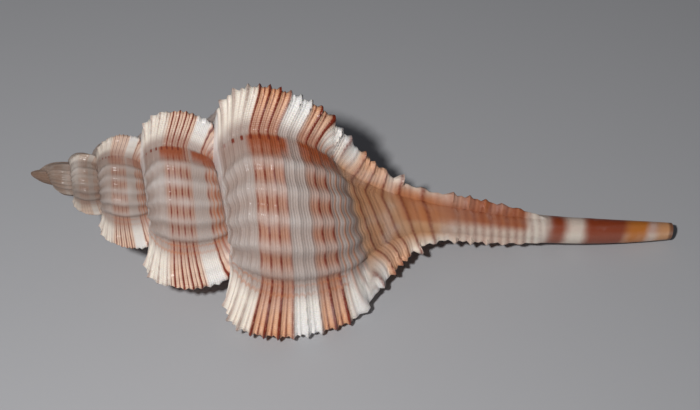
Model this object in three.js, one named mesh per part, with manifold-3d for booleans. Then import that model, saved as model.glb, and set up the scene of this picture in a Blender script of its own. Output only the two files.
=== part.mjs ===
// A murex shell of the long-beaked kind: a coiled spire, a round body whorl with three
// fin-like varices to a turn, and a straight siphonal canal almost as long as the rest.
// It lies the way an empty one comes to rest, on two varices and the canal, mouth down.
//
// Millimetres, +Z up. The origin is under the middle of the shell, on the surface it lies on.
// +X runs from the apex towards the canal tip, and +Y away from the side where the outer lip is.
//
// The shell is worked out in its own coiling frame first: x along the axis from the apex,
// r out from the axis, and growth, counted in turns, which is 0 at the lip and negative before.

import * as THREE from 'three';
import { mergeVertices } from 'three/addons/utils/BufferGeometryUtils.js';
import Module from 'manifold-3d';

// --- driving dimensions ------------------------------------------------------------------

const LENGTH = 75.5;                // apex to canal tip, along the axis
const STEPS = 60;                   // steps to one turn, so that every crest falls on a step
const FIRST_STEP = -340;            // the step at which the shell begins
const FIRST_TURN = FIRST_STEP / STEPS;

const SUTURE = { x: 23.9, r: 5.97 };                       // where the suture meets the lip
const GROWTH = { x: 0.51, r: 0.332, slowing: 0.018 };       // per turn, as exponents
const OPENS_OVER = 0.9;               // turns in which a whorl opens from a point to its width
const BULGE = { height: 5.7, skew: 0.7, fullness: 0.66, extra: 0.16, back: 0.93 };

const VARIX = { crest: -1 / 30, perTurn: 3, rise: 0.16, fall: 0.113, hollow: 1.6, bow: 0.3, sweep: 1.36 };
// The varices in line with the lip lean further back than the other two rows.
const LIP_SIDE_SWEEP = 4;
const VARICES_START = { from: FIRST_TURN + 1, to: FIRST_TURN + 2.2 };
const FLANGE = { height: 4.33, halfway: -1.61, rate: 2.07 };  // how tall a varix stands, by growth

// The base of the last whorl, from the suture line down to the root of the canal: three
// handles of a cubic curve, how fast each grows, and how far a varix lifts it.
const BASE = [
  { x: 41.66, r: 5.4, grows: 0.8, lift: 3.94 },
  { x: 44.06, r: 2.52, grows: 0.5, lift: 0.22 },
  { x: 49.5, r: 2.1, grows: 0.12, lift: 0 },
];
const CANAL = { narrow: 1.5, wide: 1.75, tip: 1.0 };
// A varix's last low stretch, on the canal; the one at the lip hardly has it.
const FIN = { height: 1.3, atLip: 0.3, lipFrom: -0.25, lipTo: -0.05, end: 0.42, roundness: 0.7 };
const BEND = { from: 44, up: 1.6, side: 0.7 };             // the canal's slight bow

// The mouth at the lip: a closed outline of axial and radial places.
const MOUTH = [
  [25.3, 7.4], [26.2, 10.0], [28.2, 11.5], [31.0, 11.8], [34.0, 11.1], [36.8, 9.9], [39.0, 7.7],
  [41.2, 4.9], [43.8, 2.9], [41.0, 2.6], [37.5, 2.9], [33.5, 3.4], [30.0, 4.3], [27.1, 5.5],
];
const MOUTH_POINTS = 18;
const MOUTH_AHEAD = 1.5;             // steps that the hollow's cutter reaches past the lip
const HOLLOW_TURNS = 0.75;           // how far the hollow is followed inwards
const BLIND_END = 0.08;              // the hollow's last loop, as a share of the mouth
const SLIT = { from: 37, width: 0.55, floor: 0.35, floorWidth: 1.0, start: 8, turn: 46, turnEnd: 52, steps: 16, reach: 4 };

const REST = { roll: 123.2, pitch: 9.9 };                  // degrees: the pose it lies in

// --- small helpers -----------------------------------------------------------------------

const { lerp, smoothstep, clamp, degToRad } = THREE.MathUtils;
const cubic = (a, b, c, d, u) => {
  const w = 1 - u;
  return w * w * w * a + 3 * w * w * u * b + 3 * w * u * u * c + u * u * u * d;
};

// --- the growth laws ---------------------------------------------------------------------

const size = (t) => Math.exp(GROWTH.r * t - GROWTH.slowing * t * t);
// Grows from 0 to 1 over the turn that starts so many turns after the first.
const opening = (t, turns) => Math.sqrt(clamp((t - FIRST_TURN - turns) / OPENS_OVER, 0, 1));

// The suture: the line where each whorl meets the one before it.
function suture(t) {
  const start = opening(t, 1);
  return { x: SUTURE.x * Math.exp(GROWTH.x * t) * start, r: SUTURE.r * size(t) * start };
}

// 1 on the crest of a varix, 0 between two: a gentle back and a steep leading face.
function varix(t) {
  const turn = (t - VARIX.crest) * VARIX.perTurn;
  const phase = turn - Math.floor(turn + 0.5);
  const behind = clamp(1 + phase / VARIX.rise, 0, 1) ** VARIX.hollow;
  const ahead = smoothstep(1 - phase / VARIX.fall, 0, 1);
  return (phase < 0 ? behind : ahead) * smoothstep(t, VARICES_START.from, VARICES_START.to);
}

const flange = (t) => FLANGE.height / (1 + Math.exp(-(t - FLANGE.halfway) * FLANGE.rate));

// A varix lifts the suture too, so that its fin runs on from whorl to whorl.
function liftedSuture(t) {
  const { x, r } = suture(t);
  return { x, r: r + flange(t) * varix(t) * opening(t, 1) };
}

// --- the outside -------------------------------------------------------------------------

// The whorl is an arch sprung from its own suture (v = 0) to the next turn's (v = 1).
function whorl(t, v) {
  const near = liftedSuture(t);
  const far = liftedSuture(t + 1);
  if (v === 0) return near;
  if (v === 1) return far;
  const h = varix(t);
  const s = size(t) * opening(t, 0) * Math.exp(BULGE.extra * t);
  const arch = Math.sin(Math.PI * v);
  const height = BULGE.height * Math.sin(Math.PI * v ** BULGE.skew) ** BULGE.fullness;
  const lipSide = (0.5 + 0.5 * Math.cos(2 * Math.PI * (t - VARIX.crest))) ** 2;
  const sweep = VARIX.sweep + LIP_SIDE_SWEEP * lipSide;
  const back = BULGE.back * arch + sweep * h * arch * (1 - v) ** 2;
  return {
    x: lerp(near.x, far.x, v) - s * back,
    r: lerp(near.r, far.r, v) + s * (height + VARIX.bow * arch * h),
  };
}

function baseHandle(t, handle) {
  return {
    x: handle.x * Math.exp(GROWTH.x * handle.grows * t),
    r: handle.r * Math.exp(GROWTH.r * handle.grows * t) + handle.lift * varix(t),
  };
}

// From the last suture line (u = 0) to the root of the canal (u = 1).
function base(t, u) {
  const top = liftedSuture(t + 1);
  const [a, b, root] = BASE.map((handle) => baseHandle(t, handle));
  return {
    x: cubic(top.x, a.x, b.x, root.x, u),
    r: cubic(top.r, a.r, b.r, root.r, u) + finHeight(t) * u ** 3,
  };
}

// How far a varix stands above the canal: lower on the last one, which ends in the lip.
const finHeight = (t) => FIN.height * varix(t) * lerp(1, FIN.atLip, smoothstep(t, FIN.lipFrom, FIN.lipTo));

// From its root (u = 0) to the cut tip (u = 1); the varices run out along it as low fins.
function canal(t, u) {
  const root = baseHandle(t, BASE[2]);
  const fin = finHeight(t) * Math.cos((Math.PI / 2) * clamp(u / FIN.end, 0, 1)) ** FIN.roundness;
  return {
    x: lerp(root.x, LENGTH, u),
    r: cubic(root.r, CANAL.narrow, CANAL.wide, CANAL.tip, u) + fin,
  };
}

// From the coiling frame to a point, with the canal's bow. The angle comes from a whole
// number of steps, so that two turns meet at exactly the same place.
function place({ x, r }, angle) {
  const along = clamp((x - BEND.from) / (LENGTH - BEND.from), 0, 1);
  const bowed = new THREE.Vector3(x, -r * Math.sin(angle), r * Math.cos(angle));
  bowed.y -= BEND.side * Math.sin(Math.PI * along);
  bowed.z += BEND.up * along * along;
  return bowed;
}

const angleOfStep = (i) => degToRad(REST.roll) + (2 * Math.PI * (((i % STEPS) + STEPS) % STEPS)) / STEPS;
const growthOfStep = (i) => i / STEPS;

// --- meshes ------------------------------------------------------------------------------

// Collects triangles by their corners and hands them to manifold-3d as one closed solid.
class Skin {
  corners = [];

  triangle(a, b, c) {
    this.corners.push(...a.toArray(), ...b.toArray(), ...c.toArray());
  }

  quad(a, b, c, d) {
    this.triangle(a, b, c);
    this.triangle(a, c, d);
  }

  solid(wasm) {
    const loose = new THREE.BufferGeometry();
    loose.setAttribute('position', new THREE.Float32BufferAttribute(this.corners, 3));
    const merged = mergeVertices(loose, 1e-4);
    const index = Array.from(merged.index.array);
    const kept = [];
    for (let k = 0; k < index.length; k += 3) {
      const [a, b, c] = index.slice(k, k + 3);
      if (a !== b && b !== c && c !== a) kept.push(a, b, c);
    }
    return new wasm.Manifold(new wasm.Mesh({
      numProp: 3,
      vertProperties: Float32Array.from(merged.attributes.position.array),
      triVerts: Uint32Array.from(kept),
    }));
  }
}

const ARCH_ROWS = 8;
const BASE_ROWS = 6;
const CANAL_ROWS = 9;

// One line of the surface at a growth step, from the suture to the canal tip. Whorls that
// a later one covers stop at their far edge.
function growthLine(i, withArch, withBase) {
  const t = growthOfStep(i);
  const angle = angleOfStep(i);
  const line = [];
  if (withArch) {
    for (let j = 0; j <= ARCH_ROWS; j += 1) line.push(place(whorl(t, j / ARCH_ROWS), angle));
  }
  if (withBase) {
    if (!withArch) line.push(place(liftedSuture(t + 1), angle));
    for (let j = 1; j <= BASE_ROWS; j += 1) line.push(place(base(t, j / BASE_ROWS), angle));
    for (let j = 1; j <= CANAL_ROWS; j += 1) line.push(place(canal(t, j / CANAL_ROWS), angle));
  }
  return line;
}

function outside(wasm) {
  const skin = new Skin();
  for (let i = FIRST_STEP; i < 0; i += 1) {
    const onLastTurn = i >= -STEPS;
    const here = growthLine(i, true, onLastTurn);
    const next = growthLine(i + 1, true, onLastTurn);
    for (let j = 1; j < here.length; j += 1) skin.quad(here[j - 1], next[j - 1], next[j], here[j]);
  }
  // The face at the lip spans from the outer lip to the base of the whorl before it.
  const lip = growthLine(0, true, true);
  const inner = growthLine(-STEPS, false, true);
  for (let j = 1; j <= ARCH_ROWS; j += 1) skin.triangle(inner[0], lip[j], lip[j - 1]);
  for (let j = 1; j < inner.length; j += 1) {
    skin.quad(lip[ARCH_ROWS + j - 1], inner[j - 1], inner[j], lip[ARCH_ROWS + j]);
  }
  // The canal's cut tip.
  const tip = place({ x: LENGTH, r: 0 }, 0);
  for (let i = -STEPS; i < 0; i += 1) {
    const [a, b] = [i, i + 1].map((k) => place(canal(growthOfStep(k), 1), angleOfStep(k)));
    skin.triangle(tip, a, b);
  }
  return skin.solid(wasm);
}

// A closed solid through a row of loops with the same number of points, closed at its ends.
function loft(wasm, loops) {
  const skin = new Skin();
  const middle = (loop) => loop.reduce((sum, p) => sum.add(p), new THREE.Vector3()).divideScalar(loop.length);
  const count = loops[0].length;
  for (let k = 0; k < count; k += 1) {
    const next = (k + 1) % count;
    skin.triangle(middle(loops[0]), loops[0][next], loops[0][k]);
    for (let n = 1; n < loops.length; n += 1) {
      skin.quad(loops[n - 1][k], loops[n - 1][next], loops[n][next], loops[n][k]);
    }
    skin.triangle(middle(loops.at(-1)), loops.at(-1)[k], loops.at(-1)[next]);
  }
  return skin.solid(wasm);
}

// The hollow follows the coil inwards from the mouth and closes to a blind end.
function hollow(wasm) {
  const curve = new THREE.SplineCurve(MOUTH.map(([x, r]) => new THREE.Vector2(x, r)));
  curve.points.push(curve.points[0].clone());
  const outline = curve.getPoints(MOUTH_POINTS).slice(0, -1);
  const centre = outline.reduce((sum, p) => sum.add(p), new THREE.Vector2()).divideScalar(outline.length);
  const loops = [];
  const last = -Math.round(HOLLOW_TURNS * STEPS);
  for (let i = MOUTH_AHEAD; i >= last; i -= 1) {
    const t = growthOfStep(i);
    const open = Math.max(Math.sqrt(1 - clamp(i / last, 0, 1) ** 3), BLIND_END);
    loops.push(outline.map((p) => place({
      x: (centre.x + (p.x - centre.x) * open) * Math.exp(GROWTH.x * t),
      r: (centre.y + (p.y - centre.y) * open) * Math.exp(GROWTH.r * t),
    }, angleOfStep(i))));
  }
  return loft(wasm, loops);
}

// The slit along the underside of the canal: narrow at the surface and wider at its floor.
function slit(wasm) {
  const loops = [];
  for (let n = 0; n <= SLIT.steps; n += 1) {
    const x = lerp(SLIT.from, LENGTH + 1, n / SLIT.steps);
    const angle = degToRad(REST.roll + SLIT.start + SLIT.turn * smoothstep(x, SLIT.from, SLIT.turnEnd));
    const corner = (r, side) => place({ x, r: Math.hypot(r, side) }, angle + Math.atan2(side, r));
    const [w, f] = [SLIT.width / 2, SLIT.floorWidth / 2];
    loops.push([corner(-SLIT.floor, f), corner(-SLIT.floor, -f), corner(SLIT.floor, -f),
      corner(SLIT.reach, -w), corner(SLIT.reach, w), corner(SLIT.floor, f)]);
  }
  return loft(wasm, loops);
}

// --- the shell ---------------------------------------------------------------------------

const wasm = await Module();
wasm.setup();

function shellGeometry() {
  const carved = outside(wasm).subtract(hollow(wasm)).subtract(slit(wasm));
  const { vertProperties, triVerts } = carved.getMesh();
  const geometry = new THREE.BufferGeometry();
  geometry.setAttribute('position', new THREE.Float32BufferAttribute(vertProperties, 3));
  geometry.setIndex(Array.from(triVerts));
  geometry.rotateY(degToRad(REST.pitch));
  geometry.computeBoundingBox();
  const { min, max } = geometry.boundingBox;
  geometry.translate(-(min.x + max.x) / 2, -(min.y + max.y) / 2, -min.z);
  return geometry;
}

const glazed = new THREE.MeshStandardMaterial({ color: 0xd9b48c, roughness: 0.45, metalness: 0 });
const shell = new THREE.Mesh(shellGeometry(), glazed);
shell.name = 'shell';

const murex = new THREE.Group();
murex.add(shell);

export default murex;
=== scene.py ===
# %% [markdown]
# # A murex shell, grown from one rule
# A sea snail makes its shell by adding lime to the lip, a little at a time, while the lip
# turns round an axis and gets bigger. So the whole shape follows a rule: one outline, turned
# and enlarged. That makes it a good subject for Geometry Nodes, which can work the rule out at
# every point of a plain grid. A lathe can't do it, because a lathe closes on itself, and
# sculpting by hand would lose the even growth that makes a shell look like a shell.

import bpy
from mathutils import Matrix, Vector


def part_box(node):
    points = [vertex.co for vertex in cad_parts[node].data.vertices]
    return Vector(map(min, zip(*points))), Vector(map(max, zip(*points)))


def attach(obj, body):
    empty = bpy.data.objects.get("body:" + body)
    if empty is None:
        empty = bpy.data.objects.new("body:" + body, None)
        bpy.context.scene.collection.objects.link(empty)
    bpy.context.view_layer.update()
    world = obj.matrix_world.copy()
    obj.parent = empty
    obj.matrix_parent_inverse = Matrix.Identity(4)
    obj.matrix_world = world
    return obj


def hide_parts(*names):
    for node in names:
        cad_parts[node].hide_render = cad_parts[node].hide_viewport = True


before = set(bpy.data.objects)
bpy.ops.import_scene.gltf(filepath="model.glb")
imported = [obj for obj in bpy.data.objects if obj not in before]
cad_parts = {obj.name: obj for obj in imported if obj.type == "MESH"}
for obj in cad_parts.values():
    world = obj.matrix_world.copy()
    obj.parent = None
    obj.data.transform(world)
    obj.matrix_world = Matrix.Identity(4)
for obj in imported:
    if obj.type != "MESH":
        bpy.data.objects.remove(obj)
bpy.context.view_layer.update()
print("frame nodes:", sorted(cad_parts))

# %% Imports and places
import math

import bpy
from mathutils import Matrix, Vector

SHELL = "shell"
low_corner, high_corner = (Vector(corner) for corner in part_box(SHELL))
middle = (low_corner + high_corner) / 2
print("shell box in millimetres:", [round(side * 1000, 1) for side in high_corner - low_corner])

# %% [markdown]
# ## Numbers that flow through a node tree
# A rule with hundreds of steps is hard to read as Math nodes wired one by one. A small class
# helps: it holds a socket, and adding or multiplying two of them adds the Math node that does
# it. The same class works in a shader tree, so the pattern and the relief can share one rule.

# %% A number in a node tree
class Flow:
    """A number that a node puts out. Python's own signs add the nodes that work on it."""

    def __init__(self, tree, socket):
        self.tree = tree
        self.socket = socket

    def math(self, operation, *others):
        node = self.tree.nodes.new("ShaderNodeMath")
        node.operation = operation
        for slot, value in zip(node.inputs, (self, *others)):
            plug(self.tree, slot, value)
        return Flow(self.tree, node.outputs[0])

    def __add__(self, other):
        return self.math("ADD", other)

    def __sub__(self, other):
        return self.math("SUBTRACT", other)

    def __mul__(self, other):
        return self.math("MULTIPLY", other)

    def __truediv__(self, other):
        return self.math("DIVIDE", other)

    def __pow__(self, other):
        return self.math("POWER", other)

    def __rsub__(self, other):
        return self.math("MULTIPLY_ADD", -1.0, other)

    def __rtruediv__(self, other):
        return self ** -1.0 * other

    __radd__ = __add__
    __rmul__ = __mul__

    def clamped(self, low=0.0, high=1.0):
        return self.math("MAXIMUM", low).math("MINIMUM", high)

    def below(self, limit):
        return self.math("LESS_THAN", limit)

    def above(self, limit):
        return self.math("GREATER_THAN", limit)


def plug(tree, slot, value):
    """Wires a flow or an output into a socket, or sets the socket's own value."""
    if isinstance(value, Flow):
        tree.links.new(value.socket, slot)
    elif isinstance(value, bpy.types.NodeSocket):
        tree.links.new(value, slot)
    else:
        slot.default_value = value


def sine(value):
    return value.math("SINE")


def cosine(value):
    return value.math("COSINE")


def mix(start, stop, share):
    """start where share is 0, stop where it is 1."""
    return (stop - start) * share + start


def ease(value, start, stop):
    """0 below start, 1 above stop, and a soft step between."""
    node = value.tree.nodes.new("ShaderNodeMapRange")
    node.interpolation_type = "SMOOTHSTEP"
    plug(value.tree, node.inputs["Value"], value)
    plug(value.tree, node.inputs["From Min"], start)
    plug(value.tree, node.inputs["From Max"], stop)
    return Flow(value.tree, node.outputs["Result"])


def between(value, start, stop, soft):
    """1 between start and stop, with soft edges."""
    return ease(value, start - soft, start + soft) - ease(value, stop - soft, stop + soft)


def wave(turns, sharp=1.0):
    """A row of ridges, one to each whole number, from 0 to 1. A higher sharp narrows them."""
    ridge = cosine(turns * (2 * math.pi)) * 0.5 + 0.5
    return ridge if sharp == 1.0 else ridge ** sharp


print("number helpers ready")

# %% [markdown]
# ## How the shell grows
# growth counts turns: 0 at the lip, and negative for all that came before. The suture is the
# line where each whorl meets the one before it. It runs away from the apex and outwards as
# growth goes on. Three times in each turn the snail stopped and built a varix, a tall fin.

# %% Growth laws
FIRST_TURN = -272 / 48
LENGTH = 75.5
GROWTH_X, GROWTH_R, SLOWING = 0.51, 0.332, 0.018
SUTURE_X, SUTURE_R = 23.9, 5.97
CREST, RISE, FALL, HOLLOW_BACK = -1 / 30, 0.16, 0.113, 1.6
OPENS_OVER, VARICES_FROM, VARICES_FULL = 0.9, FIRST_TURN + 1, FIRST_TURN + 2.2
FIN_HEIGHT, FIN_HALFWAY, FIN_RATE = 3.9, -1.61, 2.07


def size(t):
    """How large everything is at t, as a share of its size at the lip."""
    return (t * GROWTH_R - t * t * SLOWING).math("EXPONENT")


def opening(t, turns):
    """Grows from 0 to 1 over the turn that starts so many turns after the first."""
    return ((t - (FIRST_TURN + turns)) / OPENS_OVER).clamped().math("SQRT")


def turn_phase(t):
    """Where growth stands between varices: 0 on a crest, from -0.5 to 0.5."""
    thirds = (t - CREST) * 3
    return thirds - (thirds + 0.5).math("FLOOR")


def varix_height(t):
    """1 on the crest of a varix: a gentle back, and a steep face towards the lip."""
    phase = turn_phase(t)
    back = (phase / RISE + 1).clamped() ** HOLLOW_BACK
    face = 1.0 - ease(phase, 0.0, FALL)
    height = mix(face, back, phase.below(0.0))
    return height * ease(t, VARICES_FROM, VARICES_FULL)


def fin(t):
    """How tall a varix stands, in millimetres: more as the shell grows."""
    return FIN_HEIGHT / (((t - FIN_HALFWAY) * -FIN_RATE).math("EXPONENT") + 1)


def suture(t):
    """The suture, lifted by a varix, so that its fin runs on from whorl to whorl."""
    start = opening(t, 1)
    x = (t * GROWTH_X).math("EXPONENT") * start * SUTURE_X
    r = size(t) * start * SUTURE_R + fin(t) * varix_height(t) * start
    return x, r


print("growth laws ready, from", round(FIRST_TURN, 2), "turns to 0")

# %% [markdown]
# ## The outside of a whorl
# A whorl is an arch that springs from its own suture to the suture of the next turn. Because
# both ends lie on one and the same line, every whorl meets its neighbour without a gap, and the
# shell closes by merging points that fall together. across says where a point stands: 0 to 1 on
# the arch, 1 to 2 on the base that narrows to the canal, and 2 to 3 along the canal.

# %% The outline at one moment of growth
BULGE, SKEW, FULLNESS, BULGE_GROWS, LEAN = 5.7, 0.7, 0.66, 0.16, 0.93
BOW, SWEEP, LIP_SIDE_SWEEP = 0.3, 1.36, 4.0
BASE_HANDLES = ((41.66, 5.4, 0.8, 3.94), (44.06, 2.52, 0.5, 0.22), (49.5, 2.1, 0.12, 0.0))
CANAL_NARROW, CANAL_WIDE, CANAL_TIP = 1.5, 1.75, 1.0
LOW_FIN, LOW_FIN_AT_LIP, LOW_FIN_END, LOW_FIN_ROUND = 1.3, 0.3, 0.42, 0.7
NEAR_LIP, AT_LIP = -0.25, -0.05


def cubic(a, b, c, d, u):
    """A cubic curve through a and d with the handles b and c."""
    w = 1.0 - u
    return w * w * w * a + w * w * u * 3 * b + w * u * u * 3 * c + u * u * u * d


def arch_line(t, v, height):
    """A point of the arch, and the far suture, where the base begins."""
    near_x, near_r = suture(t)
    far_x, far_r = suture(t + 1)
    scale = size(t) * opening(t, 0) * (t * BULGE_GROWS).math("EXPONENT")
    arch = sine(v * math.pi)
    crown = sine(v ** SKEW * math.pi).clamped() ** FULLNESS * BULGE
    rest = 1.0 - v
    # The varices in line with the lip lean further back than the other two rows.
    sweep = wave(t - CREST, 2.0) * LIP_SIDE_SWEEP + SWEEP
    lean = arch * LEAN + height * arch * rest * rest * sweep
    x = mix(near_x, far_x, v) - scale * lean
    r = mix(near_r, far_r, v) + scale * (crown + arch * height * BOW)
    return x, r, far_x, far_r


def low_fin(t, height):
    """A varix goes on down the canal as a low fin, and the last one hardly at all."""
    return height * mix(1.0, LOW_FIN_AT_LIP, ease(t, NEAR_LIP, AT_LIP)) * LOW_FIN


def handle(t, height, numbers):
    """One handle of the base: how far it has grown, and how far a varix lifts it."""
    x, r, grows, lift = numbers
    along = (t * (GROWTH_X * grows)).math("EXPONENT") * x
    return along, (t * (GROWTH_R * grows)).math("EXPONENT") * r + height * lift


def outline(t, v):
    """The place of a point as (x along the axis, r out from it), in millimetres."""
    height = varix_height(t)
    x, r, top_x, top_r = arch_line(t, v.clamped(), height)
    (ax, ar), (bx, br), (root_x, root_r) = [
        handle(t, height, numbers) for numbers in BASE_HANDLES]
    down, out = (v - 1).clamped(), (v - 2).clamped()
    low = low_fin(t, height)
    base_x = cubic(top_x, ax, bx, root_x, down)
    base_r = cubic(top_r, ar, br, root_r, down) + low * down ** 3.0
    fade = cosine((out / LOW_FIN_END).clamped() * (math.pi / 2)).clamped() ** LOW_FIN_ROUND
    canal_x = mix(root_x, LENGTH, out)
    canal_r = cubic(root_r, CANAL_NARROW, CANAL_WIDE, CANAL_TIP, out) + low * fade
    on_base, on_canal = v.above(1.0), v.above(2.0)
    x = mix(mix(x, base_x, on_base), canal_x, on_canal)
    r = mix(mix(r, base_r, on_base), canal_r, on_canal)
    return x, r


print("outline of", len(BASE_HANDLES), "handles below the arch")

# %% [markdown]
# The axis isn't quite straight: the canal of a real shell bows a little. The whole shell then
# tips and rolls into the pose in which it lies on a table.

# %% From the outline to a point
MM = 0.001
BEND_FROM, BEND_UP, BEND_SIDE = 44, 1.6, 0.7
ROLL, PITCH = math.radians(123.2), math.radians(9.9)


def combine(x, y, z):
    """Three numbers as one vector."""
    node = x.tree.nodes.new("ShaderNodeCombineXYZ")
    for slot, value in zip(node.inputs, (x, y, z)):
        plug(x.tree, slot, value)
    return node.outputs[0]


def place(x, r, angle):
    """The point at x and r, turned by angle round the axis, as a vector in metres."""
    along = ((x - BEND_FROM) / (LENGTH - BEND_FROM)).clamped()
    y = r * sine(angle) * -1.0 - sine(along * math.pi) * BEND_SIDE
    z = r * cosine(angle) + along * along * BEND_UP
    tipped_x = x * math.cos(PITCH) + z * math.sin(PITCH)
    tipped_z = z * math.cos(PITCH) - x * math.sin(PITCH)
    return combine(tipped_x * MM, y * MM, tipped_z * MM)


def angle_of(t):
    """The angle at a moment of growth. The same for whole turns, so that whorls meet."""
    return (t + 10).math("FRACT") * (2 * math.pi) + ROLL


print("lies rolled", round(math.degrees(ROLL), 1), "and tipped", round(math.degrees(PITCH), 1))

# %% [markdown]
# ## Sculpture
# Fine cords run along the whorl, a strong one and a weak one in turn. Low ribs cross them, five
# between two varices. On a varix the cords stand out as flutes and end in teeth at its edge.
# A cord doesn't keep an even distance from the suture: it sags where it crosses a varix. The
# relief and, later, the colour both ask cord_course where they are.

# %% Where cords run
CORDS_ON_ARCH, CORDS_ON_CANAL = 26, 27
HIGH_BASE, LOW_BASE = 11.7, 12.5
BASE_SPLIT = 0.6
SAG, SAG_AT_LIP, BASE_SAG, SLANT = 0.115, 0.05, 0.16, 0.3


def cord_course(t, v, height):
    """across, put right for the way that cords sag over a varix and slant on the base."""
    phase = turn_phase(t)
    wide = ease(phase, -0.2, 0.0) * (1.0 - ease(phase, 0.06, 0.3))
    most = mix(SAG, SAG_AT_LIP, ease(t, -0.22, -0.06))
    sag = height * ease(v, 0.0, 0.42) * most + wide * ease(v, 0.9, 1.3) * BASE_SAG
    slant = (t + 0.2).clamped(-0.25, 0.2) * ease(v, 1.0, 1.2) * SLANT
    return v - (sag + slant) * (1.0 - ease(v, 1.3, 1.75))


def cord_number(course):
    """Counts cords from the suture. A whole number is the crest of one, an even one is strong."""
    high_base = (course - 1).clamped(0.0, BASE_SPLIT) * HIGH_BASE
    low_base = (course - (1 + BASE_SPLIT)).clamped(0.0, 1 - BASE_SPLIT) * LOW_BASE
    on_arch = course.clamped() * CORDS_ON_ARCH
    return on_arch + (high_base + low_base) + (course - 2).clamped() * CORDS_ON_CANAL


print(CORDS_ON_ARCH, "cords on the arch")

# %% Where ribs run
RIBS, FIRST_RIB, RIB_STEP = 5, 0.275, 0.13
RIB_BEND, RIB_BEND_END = 0.12, 0.3


def rib_wave(t, v):
    """1 on the crest of a low rib, 0 between two and near the varices."""
    bend = (1.0 - v / RIB_BEND_END).clamped() ** 2.0 * RIB_BEND
    phase = ((t - CREST) * 3).math("FRACT") - bend
    last = FIRST_RIB + RIB_STEP * (RIBS - 0.4)
    row = between(phase, FIRST_RIB - RIB_STEP / 2, last, 0.02)
    return wave((phase - FIRST_RIB) / RIB_STEP, 1.3) * row * (1.0 - ease(v, 0.95, 1.3))


print(RIBS, "ribs between two varices")

# %% Noise
def noise(tree, scale, detail=2.0, vector=None, seed=3.0):
    """Soft noise between about -0.5 and 0.5."""
    node = tree.nodes.new("ShaderNodeTexNoise")
    node.noise_dimensions = "4D"
    plug(tree, node.inputs["W"], seed)
    node.inputs["Scale"].default_value = scale
    node.inputs["Detail"].default_value = detail
    if vector is not None:
        tree.links.new(vector, node.inputs["Vector"])
    return Flow(tree, node.outputs[0]) - 0.5


print("noise ready")

# %% [markdown]
# The relief is a sum: cords, ribs, teeth and spines at the edge of a varix, two fine folds just
# before it, and lumps, which are stronger on the old and worn whorls. It is held at nothing
# along the sutures, where two whorls have to meet.

# %% Parts of the relief
SPINES, SPINE_WIDTH = ((1.42, 0.25), (1.55, 0.4), (1.69, 0.85)), 0.028
FOLDS = ((-0.134, 0.09), (-0.1, 0.07))
FOLD_WAVE = 0.007
WORN_FROM, WORN_TO = -4.2, -0.8
FLUTE = 2.2
LIVELY_SCALE, LUMP_SCALE = 900.0, 260.0


def teeth_and_spines(t, v, height, strong, weak, lively, tooth):
    """What stands up on the edge of a varix."""
    edge = height ** 6.0
    saw = strong * mix(0.7, 0.35, ease(t, -0.2, -0.05)) + weak * 0.45
    total = edge * (saw + lively * 0.8) * tooth * (1.0 - ease(v, 1.7, 1.85))
    for where, tall in SPINES:
        off = (v - where).math("ABSOLUTE")
        total = total + edge * (1.0 - ease(off, 0.0, SPINE_WIDTH)) * tall
    return total


def folds(t, v, weak):
    """Two fine steps that growth left just before a varix."""
    total = 0.0
    for start, tall in FOLDS:
        step = turn_phase(t) - start - weak * FOLD_WAVE
        fold = ease(step, -0.02, 0.0) * (1.0 - ease(step, 0.0, 0.004))
        total = fold * (1.0 - ease(v, 0.85, 0.95)) * tall + total
    return total


def held(t, v):
    """0 along a suture and at the canal's end, and 1 elsewhere."""
    on_last_turn = ease(t, -1.001, -0.999)
    sutures = ease(v, 0.0, 0.04) * (1.0 - ease(v, 0.97, 1.0) * (1.0 - on_last_turn))
    return sutures * (1.0 - ease(v, 2.7, 3.0))


print(len(SPINES), "spines and", len(FOLDS), "folds to a varix")

# %% Height of the relief
def relief(tree, t, v, height, cord, rib, tooth, seed):
    """How far the surface stands out from the plain whorl, in millimetres."""
    number = cord_number(cord_course(t, v, height))
    strong, weak = wave(number * 0.5, 1.5), wave(number, 1.5)
    lively = noise(tree, LIVELY_SCALE, seed=seed)
    fresh = ease(t, WORN_FROM, WORN_TO)
    flute = height * FLUTE + 1
    cords = (strong * 0.7 + weak * 0.5) * flute * cord * (1.0 - ease(v, 2.2, 2.45))
    ribs = rib_wave(t, v) * rib * (1.0 - height) * mix(2.4, 1.0, fresh)
    edge = teeth_and_spines(t, v, height, strong, weak, lively, tooth)
    carved = (cords + ribs + edge + folds(t, v, weak)) * mix(0.45, 1.0, fresh)
    canal_cords = (strong + weak) * between(v, 1.9, 2.35, 0.1) * 0.05
    lumps = noise(tree, LUMP_SCALE, seed=seed) * mix(2.2, 0.12, fresh)
    pits = lively * mix(0.6, 0.05, fresh)
    return (carved + canal_cords + lumps + pits) * size(t) * held(t, v)


print("relief ready")

# %% [markdown]
# ## Growing the grids
# Two plain grids become most of the shell: one for the last turn, from the suture down to the
# tip of the canal, and one for the spire, where only the arch shows. Two small ones close the
# lip and the canal's end. Steps of growth are packed more closely where a varix stands, and
# rows more closely near the suture.

# %% Steps and rows
STEPS_PER_THIRD, PACKING = 72, 0.5
STEPS = 3 * STEPS_PER_THIRD
SPIRE_ROWS, FINER = 34, 3
ARCH_ROWS, BASE_ROWS, CANAL_ROWS = SPIRE_ROWS * FINER, 40, 56
ROWS = ARCH_ROWS + BASE_ROWS + CANAL_ROWS
SUTURE_PACKING = 1.4
MERGE_WITHIN = 2e-7


def packed(third):
    """Pulls steps towards the whole numbers, where the crests are."""
    return third - PACKING * math.sin(2 * math.pi * third) / (2 * math.pi)


# The lip stands a little after a crest. This finds the unpacked number that packs to that.
LIP_AFTER_CREST, TRIES = -3 * CREST, 60
lip_third = LIP_AFTER_CREST
for _ in range(TRIES):
    lip_third += LIP_AFTER_CREST - packed(lip_third)


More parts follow.
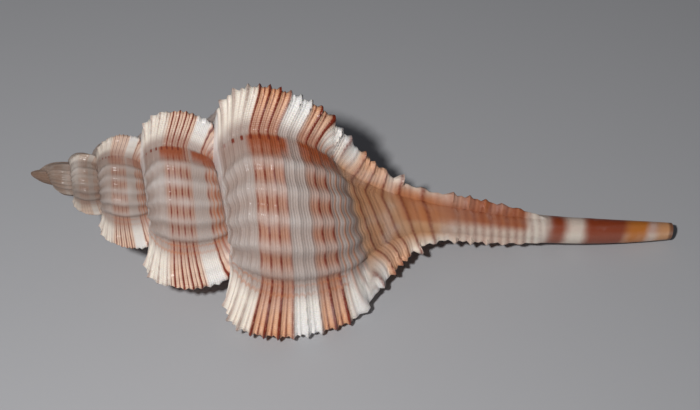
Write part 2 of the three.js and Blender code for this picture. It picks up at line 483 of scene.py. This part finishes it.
def growth_of(step):
    """Growth at a step; step 0 is the lip, and earlier steps are negative."""
    third = step / STEPS_PER_THIRD + lip_third
    bent = third - (third * (2 * math.pi)).math("SINE") * (PACKING / (2 * math.pi))
    return bent / 3 + CREST


def grid(tree, columns, rows):
    """A flat grid, with two flows that give each point's column and row."""
    node = tree.nodes.new("GeometryNodeMeshGrid")
    plug(tree, node.inputs["Size X"], float(columns))
    plug(tree, node.inputs["Size Y"], float(rows))
    plug(tree, node.inputs["Vertices X"], columns + 1)
    plug(tree, node.inputs["Vertices Y"], rows + 1)
    position = tree.nodes.new("GeometryNodeInputPosition")
    split = tree.nodes.new("ShaderNodeSeparateXYZ")
    tree.links.new(position.outputs[0], split.inputs[0])
    column = Flow(tree, split.outputs[0]) + columns / 2
    row = Flow(tree, split.outputs[1]) + rows / 2
    return node.outputs["Mesh"], column.math("ROUND"), row.math("ROUND")


print("lip at", round(packed(lip_third), 4), "of a third after the last crest")

# %% [markdown]
# Storing, moving, joining and merging are one node each. These helpers add the node, so that
# the cells that follow read as the steps of the work.

# %% Tree helpers
def store(tree, mesh, name, value, kind="FLOAT", domain="POINT"):
    """Stores a value all over a mesh, under a name: a flow, a vector or a plain number."""
    node = tree.nodes.new("GeometryNodeStoreNamedAttribute")
    node.data_type, node.domain = kind, domain
    node.inputs["Name"].default_value = name
    tree.links.new(mesh, node.inputs["Geometry"])
    plug(tree, node.inputs["Value"], value)
    return node.outputs["Geometry"]


def moved(tree, mesh, socket, vector):
    """Moves points: socket is Position for a new place, or Offset for a push."""
    node = tree.nodes.new("GeometryNodeSetPosition")
    tree.links.new(mesh, node.inputs["Geometry"])
    plug(tree, node.inputs[socket], vector)
    return node.outputs["Geometry"]


def joined(tree, meshes):
    node = tree.nodes.new("GeometryNodeJoinGeometry")
    for mesh in meshes:
        tree.links.new(mesh, node.inputs[0])
    return node.outputs[0]


def merged(tree, mesh):
    node = tree.nodes.new("GeometryNodeMergeByDistance")
    node.inputs["Distance"].default_value = MERGE_WITHIN
    tree.links.new(mesh, node.inputs["Geometry"])
    return node.outputs[0]


def flipped(tree, mesh):
    node = tree.nodes.new("GeometryNodeFlipFaces")
    tree.links.new(mesh, node.inputs["Mesh"])
    return node.outputs[0]


def named(tree, name):
    """A stored number, read back as a flow."""
    node = tree.nodes.new("GeometryNodeInputNamedAttribute")
    node.data_type = "FLOAT"
    node.inputs["Name"].default_value = name
    return Flow(tree, node.outputs["Attribute"])


print("tree helpers ready")

# %% [markdown]
# ## The skin of the shell
# Each sheet keeps where it is on the shell, as a UV map called growth: growth across, and how
# far down the outline. Relief can't be added straight away, because two sheets that meet would
# part. So the sheets are laid and merged first, and the relief then pushes every merged point
# along its own normal.

# %% The four sheets
FIRST_STEP = round(STEPS * FIRST_TURN)
LIP_COLUMNS, END_RINGS = 12, 3


def sheet(tree, mesh, t, v, inward=0.0, closing=0.0):
    """Marks a flat grid with growth and across, and with how far it leaves the outside."""
    mesh = store(tree, mesh, "growth", combine(t, v, 0.0), "FLOAT2", "CORNER")
    marks = {"turn": t, "across": v, "inward": inward, "closing": closing}
    for name, value in marks.items():
        mesh = store(tree, mesh, name, value)
    return mesh


def row_to_across(row, arch_rows, tail):
    """across for a row, on the arch alone or with the base and canal as its tail."""
    on_arch = (row / arch_rows).clamped() ** SUTURE_PACKING
    if not tail:
        return on_arch
    on_base = ((row - arch_rows) / BASE_ROWS).clamped()
    return on_arch + on_base + ((row - arch_rows - BASE_ROWS) / CANAL_ROWS).clamped()


def last_turn(tree):
    mesh, column, row = grid(tree, STEPS, ROWS)
    # The first line has only every third point, where the coarser spire joins it.
    joins = column.below(0.5) * row.below(ARCH_ROWS + 0.5)
    row = mix(row, (row / FINER).math("ROUND") * FINER, joins)
    return sheet(tree, mesh, growth_of(column - STEPS), row_to_across(row, ARCH_ROWS, True))


def spire(tree):
    mesh, column, row = grid(tree, -STEPS - FIRST_STEP, SPIRE_ROWS)
    return sheet(tree, mesh, growth_of(column + FIRST_STEP), row_to_across(row, SPIRE_ROWS, False))


def lip_face(tree):
    """The flat face at the lip, from the outer edge in to the base of the whorl before."""
    mesh, column, row = grid(tree, LIP_COLUMNS, ROWS)
    v = row_to_across(row, ARCH_ROWS, True)
    return sheet(tree, mesh, row * 0.0, v, inward=column / LIP_COLUMNS)


def canal_end(tree):
    """The cut end of the canal, closed towards its middle."""
    mesh, column, row = grid(tree, STEPS, END_RINGS)
    return sheet(tree, mesh, growth_of(column - STEPS), row * 0.0 + 3.0, closing=row / END_RINGS)


print("the skin runs over", -FIRST_STEP, "steps")

# %% The whole skin
def skin(tree, stands):
    """Lays all sheets by one rule, merges them, and raises the relief."""
    mesh = joined(tree, [part(tree) for part in (last_turn, spire, lip_face, canal_end)])
    mesh = store(tree, mesh, "inside", 0.0, domain="FACE")
    t, v, inward, closing = [named(tree, name) for name in ("turn", "across", "inward", "closing")]
    x, r = outline(t, v)
    before_x, before_r = outline(t - 1, v.math("MAXIMUM", 1.0))
    x = mix(x, before_x, inward)
    r = mix(r, before_r, inward) * (1.0 - closing)
    mesh = moved(tree, mesh, "Position", place(x, r, angle_of(t)))
    mesh = store(tree, mesh, "relief", relief(tree, t, v, varix_height(t), *stands))
    mesh = merged(tree, mesh)
    normal = tree.nodes.new("GeometryNodeInputNormal")
    push = tree.nodes.new("ShaderNodeVectorMath")
    push.operation = "SCALE"
    tree.links.new(normal.outputs[0], push.inputs[0])
    plug(tree, push.inputs["Scale"], named(tree, "relief") * MM)
    return moved(tree, mesh, "Offset", push.outputs[0])


print("skin ready, in", ROWS, "rows on the last turn")

# %% [markdown]
# ## The hollow and the slit
# The snail lived in a hollow that follows the coil. The canal is open along its underside by a
# slit. Each is a tool of the same kind: a tube of loops along a path, closed at its ends, that a
# boolean cuts away.

# %% The mouth's outline
MOUTH_TOP, MOUTH_FOOT = (25.2, 7.0), (44.0, 2.7)
MOUTH_LENGTH = math.dist(MOUTH_TOP, MOUTH_FOOT)
MOUTH_WAY = [(foot - top) / MOUTH_LENGTH for top, foot in zip(MOUTH_TOP, MOUTH_FOOT)]
MOUTH_BULGE, MOUTH_BELLY = 6.3, 1.65
MOUTH_CENTRE = (33.5, 7.0)
HOLLOW_TURNS, HOLLOW_POINTS, HOLLOW_LOOPS = 0.75, 96, 150
PAST_LIP, BLIND_END, FLARE = 0.012, 0.08, 0.035


def mouth_outline(share):
    """A closed outline: out along the outer lip, and back along the inner one."""
    outer = share.below(0.5)
    w = mix(2.0 - share * 2, share * 2, outer).clamped()
    arch = (w ** 0.8 * math.pi).math("SINE").clamped() ** 0.5 * (1.0 - w ** 4.0) * MOUTH_BULGE
    belly = (w * math.pi).math("SINE").clamped() ** 0.7 * -MOUTH_BELLY
    offset = mix(belly, arch, outer)
    x = w * (MOUTH_LENGTH * MOUTH_WAY[0]) + offset * -MOUTH_WAY[1] + MOUTH_TOP[0]
    r = w * (MOUTH_LENGTH * MOUTH_WAY[1]) + offset * MOUTH_WAY[0] + MOUTH_TOP[1]
    return x, r


print("mouth is", round(MOUTH_LENGTH, 1), "mm long")

# %% The hollow
def capped_tube(tree, loops, points, position):
    """A tube from a grid: loops along it, points round it, with both ends drawn to a point."""
    mesh, column, row = grid(tree, loops, points)
    mesh = flipped(tree, moved(tree, mesh, "Position", position(column, row)))
    return store(tree, merged(tree, mesh), "inside", 1.0, domain="FACE")


def along_tube(column, loops):
    """How far along a tube a column is, and 0 instead of 1 on the two columns that close it."""
    share = (column - 1).clamped(0.0, loops - 2.0) / (loops - 2)
    return share, column.above(0.5) * column.below(loops - 0.5)


def hollow(tree):
    """The snail's room: the mouth's outline, followed back round the coil to a blind end."""
    def position(column, row):
        loop, end = along_tube(column, HOLLOW_LOOPS)
        t = PAST_LIP - loop * (HOLLOW_TURNS + PAST_LIP)
        x, r = mouth_outline(row / HOLLOW_POINTS)
        depth = (0.0 - t).clamped() / HOLLOW_TURNS
        open_share = (1.0 - depth ** 3.0).clamped().math("SQRT")
        wide = open_share.math("MAXIMUM", BLIND_END) * end
        flare = wide * (1.0 + ease(t, -0.016, 0.006) * FLARE)
        x = mix(MOUTH_CENTRE[0], x, flare) * (t * GROWTH_X).math("EXPONENT")
        r = mix(MOUTH_CENTRE[1], r, flare) * (t * GROWTH_R).math("EXPONENT")
        return place(x, r, angle_of(t))
    return capped_tube(tree, HOLLOW_LOOPS, HOLLOW_POINTS, position)


print("hollow goes back", HOLLOW_TURNS, "of a turn")

# %% The slit
SLIT_FROM, SLIT_WIDTH, SLIT_FLOOR, SLIT_FLOOR_WIDTH = 37.0, 0.55, 0.35, 1.0
SLIT_START, SLIT_TURN, SLIT_TURN_END, SLIT_REACH = 8.0, 46.0, 52.0, 4.0
SLIT_LOOPS, SLIT_POINTS = 60, 6


def slit(tree):
    """A keyhole outline of six corners: narrow at the surface and wider at its floor."""
    def position(column, row):
        loop, end = along_tube(column, SLIT_LOOPS)
        x = loop * (LENGTH + 1 - SLIT_FROM) + SLIT_FROM
        turned = ease(x, SLIT_FROM, SLIT_TURN_END) * SLIT_TURN + SLIT_START
        corner = row - (row / SLIT_POINTS).math("FLOOR") * SLIT_POINTS
        tall = corner.above(2.5) * corner.below(4.5)
        high = corner.above(1.5)
        r = mix(mix(-SLIT_FLOOR, SLIT_FLOOR, high), SLIT_REACH, tall)
        left = corner.below(0.5) + corner.above(3.5)
        half = mix(SLIT_FLOOR_WIDTH, SLIT_WIDTH, tall) / 2
        side = mix(half * -1.0, half, left)
        r, side = r * end, side * end
        reach = (r * r + side * side).math("SQRT")
        swing = turned * (math.pi / 180) + ROLL + side.math("ARCTAN2", r)
        return place(x, reach, swing)
    return capped_tube(tree, SLIT_LOOPS, SLIT_POINTS, position)


print("slit from", SLIT_FROM, "to", LENGTH + 1, "mm")

# %% [markdown]
# ## From tree to mesh
# The tree has its sizes as named inputs, so a taller cord or a blunter tooth is one number. Its
# last nodes cut the tools away, realise everything and set the material. The result is copied
# to a plain mesh, and the modifier goes.

# %% Growing the shell
SIZES = {"Cord height": 0.13, "Rib height": 0.42, "Tooth height": 0.2, "Seed": 3.0}
SHARPEST = 52


def cut(tree, body, tools):
    """Takes the tools away from the body."""
    node = tree.nodes.new("GeometryNodeMeshBoolean")
    node.operation = "DIFFERENCE"
    node.solver = "MANIFOLD"
    tree.links.new(body, node.inputs["Mesh 1"])
    for tool in tools:
        tree.links.new(tool, node.inputs["Mesh 2"])
    return node.outputs["Mesh"]


def smooth(tree, mesh):
    """Smooth shading, except over edges that turn more than SHARPEST degrees."""
    for domain in ("FACE", "EDGE"):
        node = tree.nodes.new("GeometryNodeSetShadeSmooth")
        node.domain = domain
        tree.links.new(mesh, node.inputs["Geometry"])
        if domain == "EDGE":
            angle = tree.nodes.new("GeometryNodeInputMeshEdgeAngle")
            flat = Flow(tree, angle.outputs["Unsigned Angle"]).below(math.radians(SHARPEST))
            plug(tree, node.inputs["Shade Smooth"], flat)
        mesh = node.outputs[0]
    return mesh


def shell_tree(material):
    """The whole tree, with its sizes as named inputs."""
    tree = bpy.data.node_groups.new("shell growth", "GeometryNodeTree")
    tree.interface.new_socket("Geometry", in_out="OUTPUT", socket_type="NodeSocketGeometry")
    for name, value in SIZES.items():
        socket = tree.interface.new_socket(name, in_out="INPUT", socket_type="NodeSocketFloat")
        socket.default_value = value
    given = tree.nodes.new("NodeGroupInput")
    stands = [Flow(tree, given.outputs[name]) for name in SIZES]
    mesh = cut(tree, skin(tree, stands), [hollow(tree), slit(tree)])
    mesh = smooth(tree, mesh)
    real = tree.nodes.new("GeometryNodeRealizeInstances")
    tree.links.new(mesh, real.inputs[0])
    finish = tree.nodes.new("GeometryNodeSetMaterial")
    finish.inputs["Material"].default_value = material
    tree.links.new(real.outputs[0], finish.inputs["Geometry"])
    result = tree.nodes.new("NodeGroupOutput")
    tree.links.new(finish.outputs[0], result.inputs[0])
    return tree


print("sizes that the tree takes:", SIZES)

# %% Growing it
def grow(material):
    """Runs the tree once, and keeps its result as a plain mesh."""
    seedling = bpy.data.objects.new("murex", bpy.data.meshes.new("seedling"))
    bpy.context.scene.collection.objects.link(seedling)
    modifier = seedling.modifiers.new("growth", "NODES")
    modifier.node_group = shell_tree(material)
    for item in modifier.node_group.interface.items_tree:
        if item.in_out == "INPUT":
            modifier[item.identifier] = SIZES[item.name]
    graph = bpy.context.evaluated_depsgraph_get()
    mesh = bpy.data.meshes.new_from_object(seedling.evaluated_get(graph))
    seedling.modifiers.clear()
    seedling.data = mesh
    mesh.name = "murex shell"
    return seedling


print("ready to grow")

# %% [markdown]
# ## Colour
# The snail lays colour down with the lime, so the pattern follows growth too: brown bands and
# dark lines that run along the whorl, paler where a varix or a rib stands out. The material
# reads growth and across from the UV map, and asks the same cord_course as the relief does, so
# a dark line always lies on its cord.

# %% Paints and mixing
def paint(red, green, blue):
    """A colour from screen values between 0 and 255, as the shader wants it."""
    channels = [value / 255 for value in (red, green, blue)]
    linear = [c / 12.92 if c <= 0.04045 else ((c + 0.055) / 1.055) ** 2.4 for c in channels]
    return (*linear, 1.0)


def blend(tree, under, over, share):
    """over laid on under as a glaze, as thick as share says."""
    node = tree.nodes.new("ShaderNodeMix")
    node.data_type = "RGBA"
    plug(tree, node.inputs[0], share)
    plug(tree, node.inputs[6], under)
    plug(tree, node.inputs[7], over)
    return node.outputs[2]


CREAM, GREY, WHITE = paint(253, 241, 226), paint(182, 161, 150), paint(252, 249, 246)
TAN, BROWN, DARK = paint(226, 164, 112), paint(200, 118, 66), paint(132, 44, 14)
# The ink below darkens the specks, and also paints shade as the rim at the canal's end.
ORANGE, RUST, INK_AND_SHADE = paint(212, 124, 30), paint(152, 54, 0), paint(92, 44, 34)
ORANGE_BROWN, APRICOT = paint(178, 88, 26), paint(234, 156, 96)
# This umber also stands for painted shade at the foot of each varix.
UMBER_AND_SHADE = paint(168, 82, 40)
OLD_GREY, OLD_CREAM, APEX_TAN = paint(138, 120, 108), paint(206, 188, 172), paint(136, 106, 86)
PINK, GLAZE = paint(226, 192, 174), paint(244, 232, 220)
print("paints mixed")

# %% Where everything lies in the pattern
FIRST_BAND, SECOND_BAND, WHITE_BAND = (0.30, 0.54), (0.70, 0.86), (0.53, 0.71)
OLD_SHIFT = 0.13
CLOUD_SCALE, GRAIN_SCALE = 240.0, 3200.0
CANAL_BANDS = (
    (0.33, 0.45, CREAM, 0.85, 0.02), (0.43, 0.51, RUST, 0.85, 0.03),
    (0.51, 0.60, CREAM, 0.75, 0.03), (0.60, 0.79, RUST, 0.9, 0.03),
    (0.79, 0.90, ORANGE, 0.9, 0.03), (0.90, 0.93, WHITE, 0.5, 0.03),
    (0.93, 1.1, TAN, 0.9, 0.03))


class Spot:
    """All that the pattern needs to know about one spot of the shell."""

    def __init__(self, tree, t, v):
        self.tree, self.t, self.v = tree, t, v
        self.height = varix_height(t)
        self.phase = turn_phase(t)
        self.worn = 1.0 - ease(t, -3.6, -1.0)
        self.older = 1.0 - ease(t, -1.02, -0.99)
        self.course = cord_course(t, v, self.height)
        self.number = cord_number(self.course)
        here = tree.nodes.new("ShaderNodeTexCoord").outputs["Object"]
        self.cloud = noise(tree, CLOUD_SCALE, 5.0, here)
        self.grain = noise(tree, GRAIN_SCALE, 4.0, here)
        self.on_arch = 1.0 - ease(v, 0.98, 1.04)
        self.strong, self.weak = wave(self.number * 0.5, 6.0), wave(self.number, 4.0)
        self.rib = rib_wave(t, v)
        banded = self.course - self.older * OLD_SHIFT * ease(self.course, 0.2, 0.6)
        self.white_zone = between(banded, *WHITE_BAND, 0.02) * self.on_arch
        drifting = banded + self.cloud * 0.02
        first, second = between(drifting, *FIRST_BAND, 0.02), between(drifting, *SECOND_BAND, 0.018)
        self.band = (first + second).clamped()
        self.band_paint = blend(tree, BROWN, APRICOT, ease(self.height, 0.2, 0.7))


print(len(CANAL_BANDS), "bands on the canal")

# %% [markdown]
# The pattern is glazed on in layers, as a painter would do it. Each layer below takes the
# colour so far and lays one thing over it.

# %% Ground, bands and lines of the arch
def ground(s):
    """Grey-brown between the varices, and cream and white on them."""
    colour = blend(s.tree, GREY, CREAM, ease(s.height + s.cloud * 0.3, 0.05, 0.5))
    return blend(s.tree, colour, WHITE, s.white_zone * (0.06 + s.height * 0.9))


def brown_bands(s, colour):
    """Two bands along the arch, browner between the varices and more orange on them."""
    depth = (0.56 + s.height * 0.2 + s.cloud * 0.9).clamped()
    share = s.band * s.on_arch * depth * (1.0 - s.older * 0.3)
    return blend(s.tree, colour, s.band_paint, share)


def pale_ribs(s, colour):
    """Ribs stand out from the bands in grey and white."""
    colour = blend(s.tree, colour, GREY, s.rib * s.on_arch * 0.34)
    return blend(s.tree, colour, WHITE, (s.rib * s.on_arch * (0.2 + s.cloud * 0.4)).clamped())


def dark_lines(s, colour):
    """A dark line on each strong cord, a fainter one on each weak cord, and brown ones lowest."""
    lines = (s.strong + s.weak * mix(0.35, 0.75, s.height)).clamped()
    plain = (0.1 + s.height * 0.4) * (1.0 - s.white_zone * 0.9)
    shown = (s.band * 0.9 + plain) * (1.0 - s.rib * 0.8)
    share = lines * shown * s.on_arch * (1.0 - s.worn * 0.5) * (0.9 + s.grain * 0.9)
    colour = blend(s.tree, colour, DARK, share.clamped())
    low = between(s.course, 0.87, 1.0, 0.02) * (1.0 - s.height * 0.8)
    return blend(s.tree, colour, BROWN, low * wave(s.number, 3.0) * 0.6)


print("arch layers ready")

# %% The base and the canal
def base_layer(s, colour):
    """Tan and cream below the arch, rusty in one place, with a third band and dark lines."""
    base = ease(s.v, 1.0, 1.12) * (1.0 - ease(s.v, 1.85, 2.15))
    plain = blend(s.tree, TAN, CREAM, (s.height * 0.8 + 0.1 + s.cloud).clamped())
    colour = blend(s.tree, colour, plain, base * 0.85)
    rusty = ease(s.v, 1.55, 1.7) * between(s.t, -0.36, -0.17, 0.02)
    colour = blend(s.tree, colour, BROWN, base * rusty * 0.8)
    third = between(s.course, 1.12, 1.55, 0.04) * base
    colour = blend(s.tree, colour, s.band_paint, third * (0.25 + s.height * 0.5))
    pale = between(s.course, 0.88, 1.1, 0.03) * s.height
    colour = blend(s.tree, colour, WHITE, pale * 0.85)
    lines = base * ease(s.v, 1.05, 1.15) * (s.strong + s.weak * 0.45) * (0.6 + s.grain)
    return blend(s.tree, colour, DARK, (lines * 0.8).clamped())


def canal_layer(s, colour):
    """Pale brown near the lip, orange-brown round from it, then banded, with a dark rim of painted
    shade.
    """
    along = s.v - 2.0 + (s.t + 0.3) * 0.06 + s.cloud * 0.04
    older_side = (1.0 - ease(s.t, -0.24, -0.14)) * 0.9
    canal = blend(s.tree, blend(s.tree, CREAM, BROWN, 0.3), ORANGE_BROWN, older_side)
    for start, stop, over, share, soft in CANAL_BANDS:
        canal = blend(s.tree, canal, over, between(along, start, stop, soft) * share)
    lines = (1.0 - wave(s.number)) * (1.0 - ease(s.v, 2.3, 2.5)) * (0.55 + s.grain)
    canal = blend(s.tree, canal, DARK, (lines * 0.7).clamped())
    colour = blend(s.tree, colour, canal, ease(s.v, 1.8, 2.15))
    # The dark rim at the canal's cut end is painted shade, for its open end and the shadow there.
    return blend(s.tree, colour, INK_AND_SHADE, ease(s.v, 2.975, 2.992) * 0.75)


print("base and canal layers ready")

# %% [markdown]
# Just after a varix the colour goes darker: partly the shell's own brown, and partly painted
# shade at the foot of the fin. A row of dark dots lies where each cord starts again. The oldest
# whorls have lost most of their pattern to wear.

# %% Marks and painted shade beside a varix, and wear
def varix_marks_and_shade(s, colour):
    """The darker band after a varix, partly painted shade, and the dots; brown along the folds
    before it.
    """
    # The band at the foot of each fin is partly the shell's own brown and partly painted shade.
    brown_and_shade_rows = between(s.course, 0.27, 0.60, 0.03) + between(s.course, 0.70, 1.1, 0.03) * 0.9 + 0.15
    after = ease(s.phase, 0.11, 0.14) * (1.0 - ease(s.phase, 0.15, 0.30)) * brown_and_shade_rows * s.on_arch
    share = (after * (0.95 + s.cloud * 1.2)).clamped() * (1.0 - s.worn)
    colour = blend(s.tree, colour, UMBER_AND_SHADE, share)
    row = 1.0 - ease((s.phase - 0.14).math("ABSOLUTE"), 0.008, 0.022)
    dots = ease(wave(s.number * 0.5, 2.0), 0.45, 0.75) * row
    colour = blend(s.tree, colour, DARK, dots * between(s.course, 0.08, 0.56, 0.02))
    for start, _ in FOLDS:
        step = (s.phase - start - s.weak * FOLD_WAVE + 0.004).math("ABSOLUTE")
        fold = (1.0 - ease(step, 0.002, 0.009)) * between(s.v, 0.03, 0.9, 0.03)
        colour = blend(s.tree, colour, BROWN, (fold * (0.35 + s.cloud * 1.5)).clamped())
    return colour


def wear(s, colour):
    """Old whorls go grey, the apex tan and the suture white, with dark specks and pale patches."""
    patches = (s.height * 0.8 + s.cloud * 2.5 + 0.1).clamped()
    old = blend(s.tree, OLD_GREY, OLD_CREAM, patches)
    colour = blend(s.tree, colour, old, (1.0 - ease(s.t, -3.6, -1.3)) * 0.8)
    colour = blend(s.tree, colour, APEX_TAN, (1.0 - ease(s.t, -4.6, -3.7)) * 0.8)
    rim = (1.0 - ease(s.v + s.cloud * 0.04, 0.02, 0.055)) * ease(s.t, -2.2, -1.0)
    colour = blend(s.tree, colour, WHITE, rim * 0.8)
    colour = blend(s.tree, colour, INK_AND_SHADE, (s.grain * -1.0 - 0.12).clamped() * 0.9)
    return blend(s.tree, colour, WHITE, (s.cloud - 0.05).clamped() * 1.2)


LAYERS = (brown_bands, pale_ribs, dark_lines, base_layer, canal_layer, varix_marks_and_shade, wear)
print(len(LAYERS), "layers over the ground")

# %% [markdown]
# ## The finish
# Fresh shell has a low gloss and wears dull, so roughness rises towards the apex. The inside is
# smooth and glazed. Growth lines and the finest cords are too small for the mesh, so they are
# bump.

# %% The material
GROWTH_LINES, BUMP_STRENGTH, BUMP_HEIGHT = 640.0, 0.5, 0.00012
UNIFORM_FINISH = {"Coat Weight": 0.1, "Coat Roughness": 0.16, "Subsurface Weight": 0.05,
                  "Subsurface Radius": (0.0012, 0.0008, 0.0005), "IOR": 1.53}


def place_on_shell(tree):
    """Growth and across at each spot, from the UV map."""
    uv = tree.nodes.new("ShaderNodeUVMap")
    uv.uv_map = "growth"
    split = tree.nodes.new("ShaderNodeSeparateXYZ")
    tree.links.new(uv.outputs[0], split.inputs[0])
    return Flow(tree, split.outputs[0]), Flow(tree, split.outputs[1])


def fine_bump(s, inside):
    """Growth lines, grain and the finest cords, on the outside only."""
    striae = wave(s.t * GROWTH_LINES + s.cloud * 3.0) * 0.35 + s.grain * 0.9
    fine = wave(s.number * 2.0, 1.5) * 0.5
    bump = s.tree.nodes.new("ShaderNodeBump")
    bump.inputs["Strength"].default_value = BUMP_STRENGTH
    bump.inputs["Distance"].default_value = BUMP_HEIGHT
    plug(s.tree, bump.inputs["Height"], (striae + fine) * (1.0 - inside))
    return bump.outputs[0]


def shell_material():
    material = bpy.data.materials.new("shell lime")
    material.use_nodes = True
    tree = material.node_tree
    shader = tree.nodes["Principled BSDF"]
    s = Spot(tree, *place_on_shell(tree))
    colour = ground(s)
    for layer in LAYERS:
        colour = layer(s, colour)
    mark = tree.nodes.new("ShaderNodeAttribute")
    mark.attribute_name = "inside"
    inside = Flow(tree, mark.outputs["Fac"])
    colour = blend(tree, colour, blend(tree, GLAZE, PINK, s.cloud + 0.5), inside)
    tree.links.new(colour, shader.inputs["Base Color"])
    rough = 0.46 + s.cloud * 0.25 + s.grain * 0.2 + (1.0 - ease(s.t, -3.0, -0.9)) * 0.25
    plug(tree, shader.inputs["Roughness"], mix(rough, 0.24, inside))
    tree.links.new(fine_bump(s, inside), shader.inputs["Normal"])
    for name, value in UNIFORM_FINISH.items():
        shader.inputs[name].default_value = value
    return material


murex = grow(shell_material())
print("shell has", len(murex.data.polygons), "faces")

# %% [markdown]
# ## Setting it in the frame
# The grown shell goes where the plain one stands: the middle of its box over the origin, and
# its lowest point on the table.

# %% Placing
corners = [vertex.co for vertex in murex.data.vertices]
low = Vector([min(corner[axis] for corner in corners) for axis in range(3)])
high = Vector([max(corner[axis] for corner in corners) for axis in range(3)])
centre = (low + high) / 2
murex.data.transform(Matrix.Translation((middle.x - centre.x, middle.y - centre.y, -low.z)))
print("grown shell in millimetres:", [round(side * 1000, 2) for side in high - low])
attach(murex, "root")
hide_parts(SHELL)

# %% [markdown]
# ## Table, light and camera
# A pale table and one small light, above and in front on the left, make the cords and varices
# read. A weak light from all round keeps the shadows open.

# %% Table
pale = bpy.data.materials.new("pale table")
pale.use_nodes = True
pale_shader = pale.node_tree.nodes["Principled BSDF"]
pale_shader.inputs["Base Color"].default_value = (0.5, 0.5, 0.515, 1.0)
pale_shader.inputs["Roughness"].default_value = 0.7
bpy.ops.mesh.primitive_plane_add(size=3.0, location=(0, 0, 0))
floor = bpy.context.object
floor.name = "table"
floor.data.materials.append(pale)
print("table is", round(floor.dimensions.x, 1), "m wide")

# %% Light
KEY_PLACE, KEY_AIM = Vector((-0.05, -0.128, 0.172)), Vector((-0.025, -0.02, 0.0))
KEY_WIDTH, KEY_WATTS, ROOM_LIGHT = 0.016, 0.33, 0.065
scene = bpy.context.scene
scene.view_settings.view_transform = "Standard"
world = bpy.data.worlds.new("room")
scene.world = world
world.use_nodes = True
room = world.node_tree.nodes["Background"]
room.inputs["Color"].default_value = (0.86, 0.9, 1.0, 1.0)
room.inputs["Strength"].default_value = ROOM_LIGHT
lamp = bpy.data.lights.new("key", "AREA")
lamp.shape = "DISK"
lamp.size, lamp.energy = KEY_WIDTH, KEY_WATTS
key = bpy.data.objects.new("key", lamp)
key.location = KEY_PLACE
key.rotation_euler = (KEY_AIM - KEY_PLACE).to_track_quat("-Z", "Y").to_euler()
scene.collection.objects.link(key)
print("key light is", round((KEY_AIM - KEY_PLACE).length, 3), "m from where it points")

# %% Camera
AZIMUTH, ELEVATION, DISTANCE = math.radians(-1.326), math.radians(45.6), 0.170
back = Vector((math.sin(AZIMUTH) * math.cos(ELEVATION),
               -math.cos(AZIMUTH) * math.cos(ELEVATION), math.sin(ELEVATION)))
right = Vector((math.cos(AZIMUTH), math.sin(AZIMUTH), 0.0))
up = back.cross(right)
SIDEWAYS, UPWARDS, LENS_MM, SENSOR_MM = -0.00122, 0.00086, 76.0, 36.0
target = Vector((0, 0, 0.008)) + right * SIDEWAYS + up * UPWARDS
lens = bpy.data.cameras.new("camera")
lens.lens, lens.sensor_width = LENS_MM, SENSOR_MM
camera = bpy.data.objects.new("camera", lens)
camera.location = target + back * DISTANCE
camera.rotation_euler = back.to_track_quat("Z", "Y").to_euler()
scene.collection.objects.link(camera)
scene.camera = camera
print("camera is", DISTANCE, "m away")

# %% [markdown]
# ## Handing over
# The boxes of the plain part and of the finished shell are printed above, and the frame
# takes over from here.

# %% Sizes and finish
print("sizes printed above")
